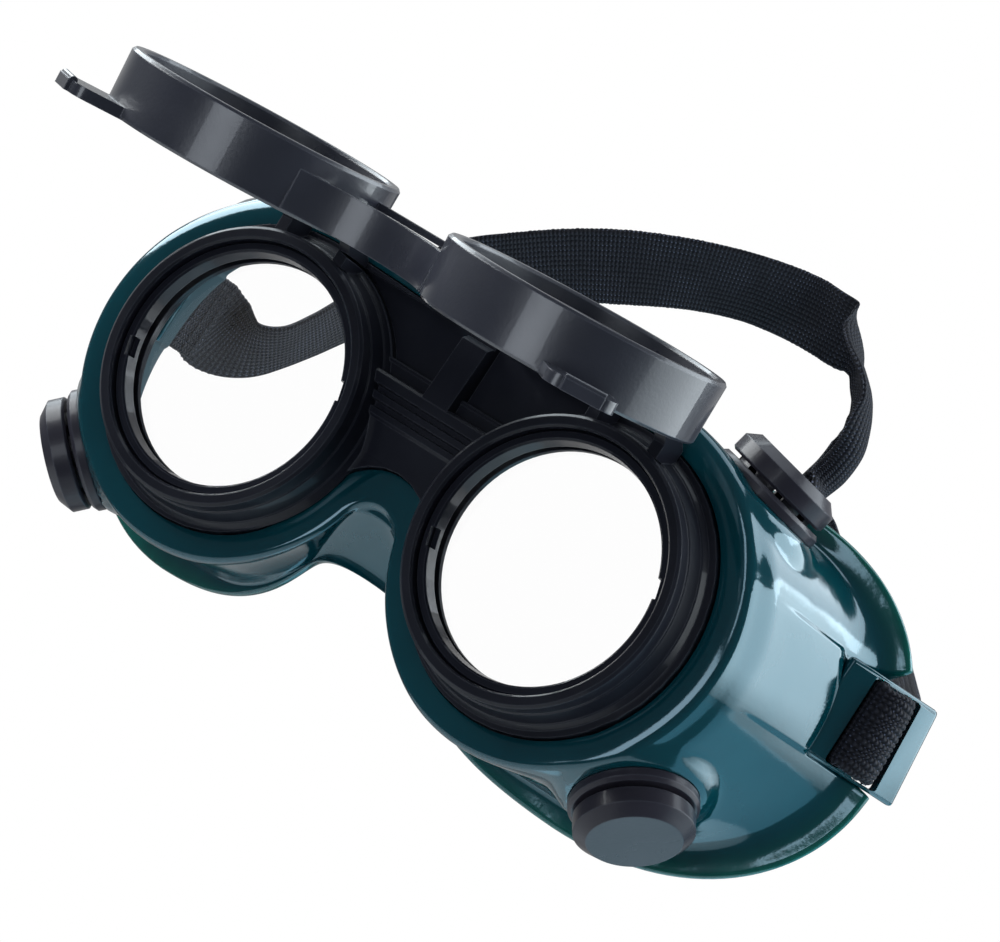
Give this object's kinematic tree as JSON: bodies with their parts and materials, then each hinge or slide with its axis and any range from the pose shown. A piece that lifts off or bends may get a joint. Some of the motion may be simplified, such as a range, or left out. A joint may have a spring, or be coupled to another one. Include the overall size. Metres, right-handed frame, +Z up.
{
  "type": "flip-up welding goggles",
  "caption": "Vented eyecup goggles with a round twin-lens frame, a hinged flip-up shade-lens unit and an elastic head strap.",
  "frame": {"origin": "centre of the face opening, on the plane where the eyecups meet the face", "axes": "-Y is the front where the lenses look, +Z is up towards the brow, +X is the wearer's left"},
  "size_m": [0.1998, 0.2053, 0.1248],
  "materials": {
    "body_pvc": "glossy flexible PVC, dark teal green",
    "frame_black": "glossy black moulded plastic",
    "flip_black": "satin black moulded plastic",
    "strap_elastic": "ribbed woven elastic, black",
    "clear_glass": "clear polished",
    "shade_glass": "dark green filter, polished",
    "pin_steel": "plain drawn wire",
    "vent_black": "glossy black moulded plastic"
  },
  "bodies": {
    "goggles": {"goggle_body": "body_pvc", "lens_frame": "frame_black", "strap": "strap_elastic", "clear_lens_right": "clear_glass", "clear_lens_left": "clear_glass", "lens_ring_right": "frame_black", "lens_ring_left": "frame_black", "hinge_pin_right": "pin_steel", "hinge_pin_left": "pin_steel", "vent_base_upper_right": "vent_black", "vent_base_upper_left": "vent_black", "vent_base_lower_right": "vent_black", "vent_base_lower_left": "vent_black", "vent_cap_upper_right": "vent_black", "vent_cap_upper_left": "vent_black", "vent_cap_lower_right": "vent_black", "vent_cap_lower_left": "vent_black"},
    "flip_unit": {"flip_frame": "flip_black", "shade_lens_right": "shade_glass", "shade_lens_left": "shade_glass", "shade_ring_right": "flip_black", "shade_ring_left": "flip_black"}
  },
  "joints": [
    {"name": "flip_hinge", "type": "hinge", "parent": "goggles", "child": "flip_unit", "pos_m": [0, -0.0494, 0.03375], "axis": [1, 0, 0], "range_deg": [-8, 82]}
  ]
}
